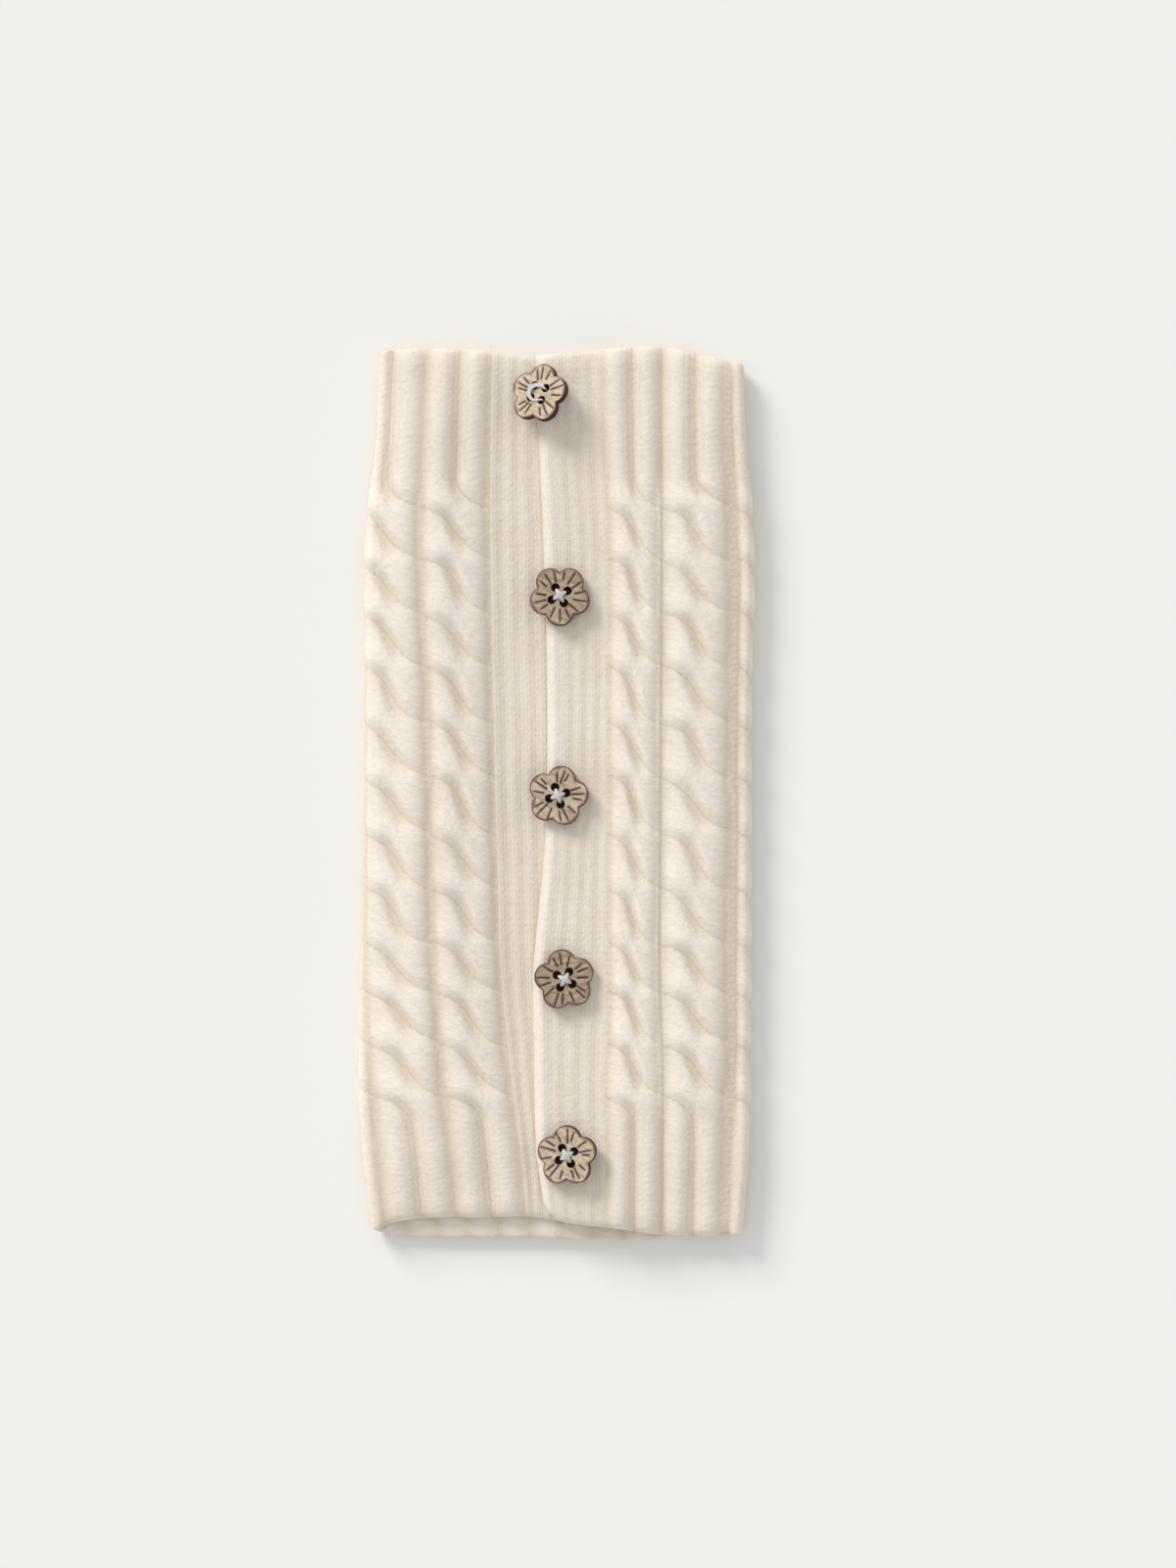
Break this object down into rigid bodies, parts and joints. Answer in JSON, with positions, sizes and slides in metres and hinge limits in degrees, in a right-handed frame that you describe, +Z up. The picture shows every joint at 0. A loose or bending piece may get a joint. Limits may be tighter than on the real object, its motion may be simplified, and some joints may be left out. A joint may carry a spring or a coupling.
{
  "type": "leg warmer",
  "caption": "Cable-knit leg warmer laid flat, open at both ends, with ribbed cuffs and a lapped button band with flower buttons.",
  "frame": {"origin": "centre of the bounding box at its base, on the surface that the leg warmer lies on", "axes": "+Y along the leg warmer towards its top hem, +X across it towards the button band's seam, +Z up from the surface"},
  "size_m": [0.1346, 0.304, 0.021],
  "materials": {
    "wool": "brushed cream wool knit",
    "wood": "bare laser-cut wood with burnt edges",
    "thread": "pale grey sewing thread"
  },
  "bodies": {
    "root": {"cable_panel": "wool", "under_band": "wool", "button_band": "wool", "button_1": "wood", "button_2": "wood", "button_3": "wood", "button_4": "wood", "button_5": "wood", "thread_1": "thread", "thread_2": "thread", "thread_3": "thread", "thread_4": "thread", "thread_5": "thread"}
  },
  "joints": []
}
